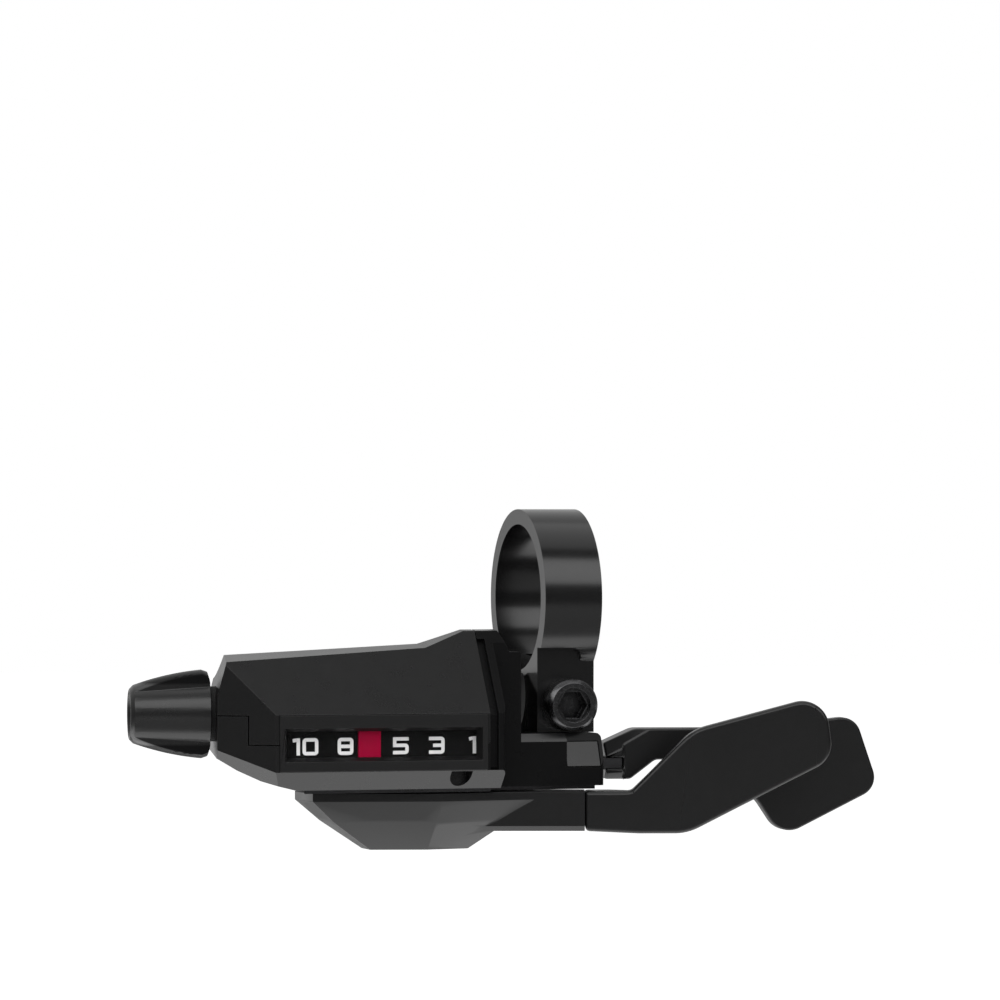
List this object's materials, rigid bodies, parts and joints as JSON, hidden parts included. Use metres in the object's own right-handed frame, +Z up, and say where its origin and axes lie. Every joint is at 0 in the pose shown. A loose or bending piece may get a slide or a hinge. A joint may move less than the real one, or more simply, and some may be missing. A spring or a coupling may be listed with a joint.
{
  "type": "trigger gear shifter",
  "caption": "Under-bar trigger gear shifter with split band clamp, number window, barrel adjuster, pull lever and release lever over a ratchet spool.",
  "frame": {"origin": "centre of the handlebar clamp's bore, midway along the band", "axes": "+X along the bar towards the lever tips, +Y forward away from the rider, +Z up"},
  "size_m": [0.1164, 0.0461, 0.0511],
  "materials": {
    "housing_plastic": "satin, fine grain",
    "bezel_plastic": "semi-gloss",
    "clear_lens": "clear",
    "dial_black": "matt with white numbers",
    "pointer_red": "satin",
    "black_metal": "satin black coat",
    "dark_steel": "blackened",
    "lever_plastic": "satin, fine grain",
    "adjuster_plastic": "satin",
    "rubber_black": "matt",
    "insert_brass": "machined",
    "spool_plastic": "smooth",
    "steel": "ground"
  },
  "bodies": {
    "housing": {"lower_housing": "housing_plastic", "upper_cover": "housing_plastic", "window_bezel": "bezel_plastic", "window_lens": "clear_lens", "dial_plate": "dial_black", "base_plate": "steel", "clamp_band": "black_metal", "clamp_bolt": "dark_steel", "foot_screw": "dark_steel", "cable_port_plug": "housing_plastic", "pivot_shaft": "steel", "pivot_nut": "steel", "shaft_clip": "steel", "base_screws": "steel", "cover_screws": "steel", "thread_insert": "insert_brass", "hold_pawl_pin": "steel", "hold_pawl_spring": "steel", "adjuster_spring": "steel"},
    "pull_lever": {"pull_lever_hub": "lever_plastic", "pull_paddle": "lever_plastic", "paddle_screw": "steel", "hub_cap": "lever_plastic", "pull_carrier": "steel", "pull_pawl_pin": "steel", "pull_pawl_spring": "steel", "pull_return_spring": "steel", "release_return_spring": "steel"},
    "release_lever": {"release_plate": "dark_steel", "release_paddle": "lever_plastic", "release_rivets": "steel"},
    "spool": {"cable_spool": "spool_plastic", "ratchet_wheel": "steel", "spool_spring": "steel"},
    "pointer": {"gear_pointer": "pointer_red"},
    "holding_pawl": {"hold_pawl": "steel"},
    "driving_pawl": {"pull_pawl": "steel"},
    "adjuster_follower": {"adjuster_collar": "rubber_black"},
    "adjuster_knob": {"barrel_adjuster": "adjuster_plastic", "adjuster_bolt": "steel"}
  },
  "joints": [
    {"name": "pull_swing", "type": "hinge", "parent": "housing", "child": "pull_lever", "pos_m": [-0.021, -0.002, -0.0284], "axis": [0, 0, 1], "range_deg": [0, 48], "stiffness_Nm_per_rad": 0.12, "springref_deg": -20.05},
    {"name": "release_swing", "type": "hinge", "parent": "pull_lever", "child": "release_lever", "pos_m": [-0.021, -0.002, -0.0284], "axis": [0, 0, 1], "range_deg": [0, 13], "stiffness_Nm_per_rad": 0.15, "springref_deg": -14.32},
    {"name": "spool_turn", "type": "hinge", "parent": "housing", "child": "spool", "pos_m": [-0.021, -0.002, -0.018], "axis": [0, 0, 1], "range_deg": [-40.5, 81]},
    {"name": "pointer_slide", "type": "slide", "parent": "housing", "child": "pointer", "axis": [1, 0, 0], "range_m": [-0.0086, 0.01715]},
    {"name": "hold_pawl_swing", "type": "hinge", "parent": "housing", "child": "holding_pawl", "pos_m": [-0.03498, -0.00447, -0.0227], "axis": [0, 0, 1], "range_deg": [-10, 0.5]},
    {"name": "pull_pawl_swing", "type": "hinge", "parent": "pull_lever", "child": "driving_pawl", "pos_m": [-0.0139, 0.0103, -0.0227], "axis": [0, 0, 1], "range_deg": [-9, 0], "stiffness_Nm_per_rad": 0.002, "springref_deg": 11.46},
    {"name": "adjuster_travel", "type": "slide", "parent": "housing", "child": "adjuster_follower", "axis": [-0.9836, 0.1805, 0], "range_m": [0, 0.0032]},
    {"name": "adjuster_turn", "type": "hinge", "parent": "adjuster_follower", "child": "adjuster_knob", "pos_m": [-0.05493, -0.00848, -0.017], "axis": [-0.9836, 0.1805, 0], "range_deg": [-2, 1442]}
  ],
  "couplings": [
    {"joint": "pointer_slide", "follows": "spool_turn", "m_per_rad": 0.012096},
    {"joint": "hold_pawl_swing", "follows": "release_swing", "ratio": -0.75},
    {"joint": "adjuster_turn", "follows": "adjuster_travel", "rad_per_m": 7854}
  ]
}
